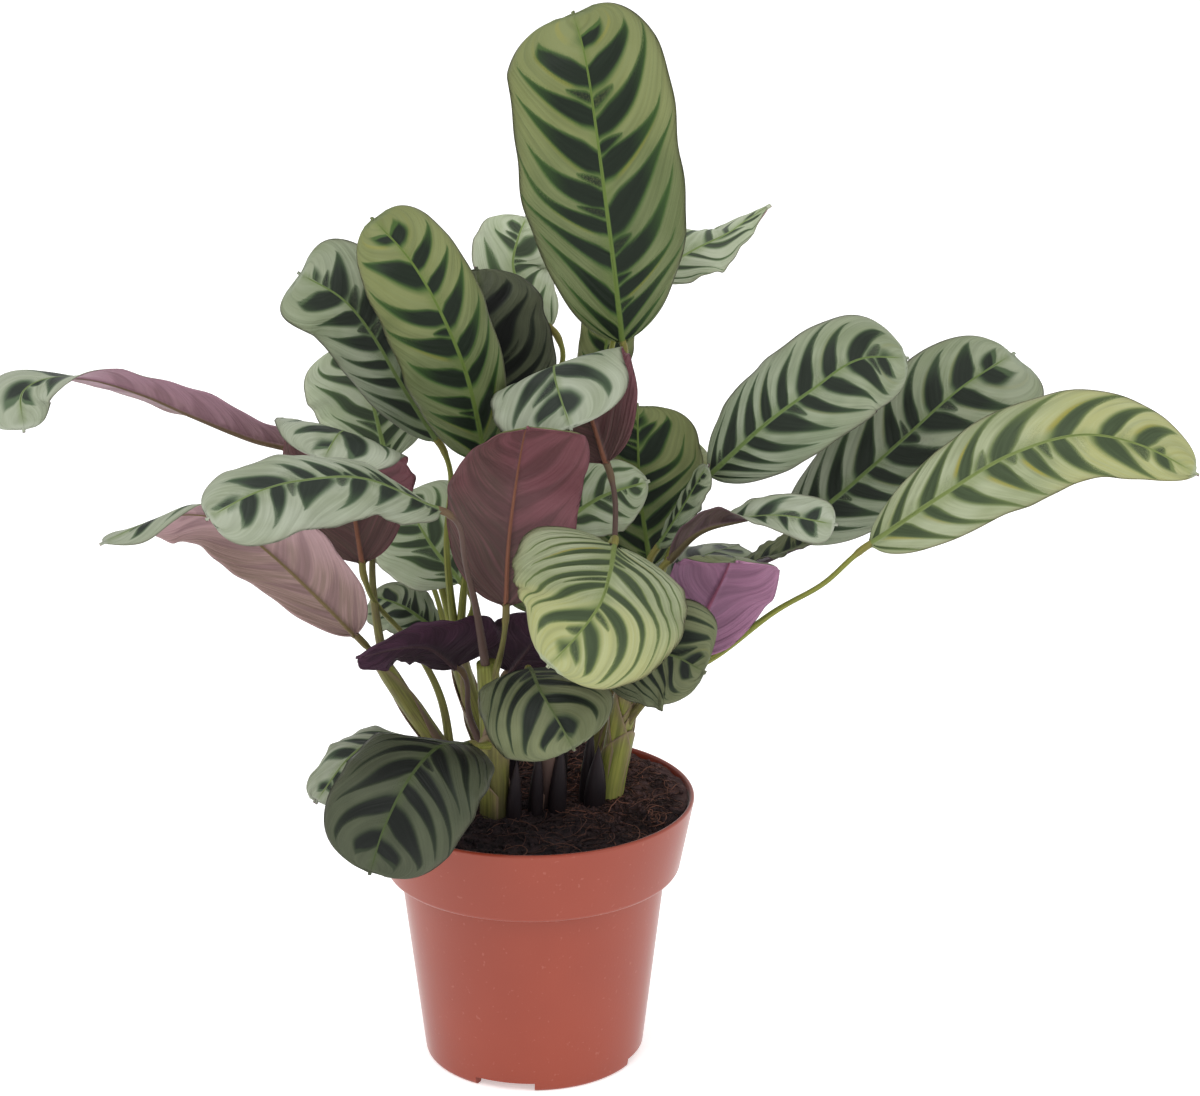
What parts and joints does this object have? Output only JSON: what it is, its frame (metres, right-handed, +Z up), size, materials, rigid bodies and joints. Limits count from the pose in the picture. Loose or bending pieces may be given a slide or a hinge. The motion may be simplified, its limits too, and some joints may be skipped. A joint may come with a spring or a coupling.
{
  "type": "potted ctenanthe",
  "caption": "Prayer plant with broad striped leaves on slim arching stalks, growing from clumped shoots in soil in a round tapered nursery pot with a banded rim.",
  "frame": {"origin": "on the pot's axis, at the level it stands on", "axes": "+Z up, -Y towards the plant's front, +X to the right seen from the front"},
  "size_m": [0.4209, 0.21, 0.3901],
  "materials": {
    "pot_plastic": "satin terracotta-coloured moulded plastic",
    "peat_soil": null,
    "stem_tissue": null,
    "leaf_tissue": null
  },
  "bodies": {
    "root": {"pot": "pot_plastic", "soil": "peat_soil", "shoot_left": "stem_tissue", "shoot_front": "stem_tissue", "shoot_middle": "stem_tissue", "shoot_right": "stem_tissue", "shoot_back_left": "stem_tissue", "shoot_back": "stem_tissue", "shoot_back_right": "stem_tissue", "leaf_crown": "leaf_tissue", "leaf_crown_right": "leaf_tissue", "leaf_crown_left": "leaf_tissue", "leaf_pair_right": "leaf_tissue", "leaf_pair_left": "leaf_tissue", "leaf_shaded": "leaf_tissue", "leaf_behind_pair": "leaf_tissue", "leaf_reaching_left": "leaf_tissue", "leaf_folded_left": "leaf_tissue", "leaf_left_underside": "leaf_tissue", "leaf_left_front": "leaf_tissue", "leaf_centre_underside": "leaf_tissue", "leaf_centre_folded": "leaf_tissue", "leaf_front_dome": "leaf_tissue", "leaf_centre_right": "leaf_tissue", "leaf_small_centre": "leaf_tissue", "leaf_right_inner": "leaf_tissue", "leaf_right_middle": "leaf_tissue", "leaf_right_outer": "leaf_tissue", "leaf_rolled_right": "leaf_tissue", "leaf_edge_on_right": "leaf_tissue", "leaf_pink_right": "leaf_tissue", "leaf_narrow_right": "leaf_tissue", "leaf_low_right": "leaf_tissue", "leaf_low_centre": "leaf_tissue", "leaf_low_front_left": "leaf_tissue", "leaf_low_left_behind": "leaf_tissue", "leaf_dark_left": "leaf_tissue", "leaf_dark_centre": "leaf_tissue", "leaf_inner_left": "leaf_tissue", "leaf_small_left": "leaf_tissue", "leaf_behind_crown": "leaf_tissue", "leaf_back_right": "leaf_tissue", "leaf_back_left": "leaf_tissue", "leaf_back_low": "leaf_tissue", "leaf_back_low_right": "leaf_tissue"}
  },
  "joints": []
}
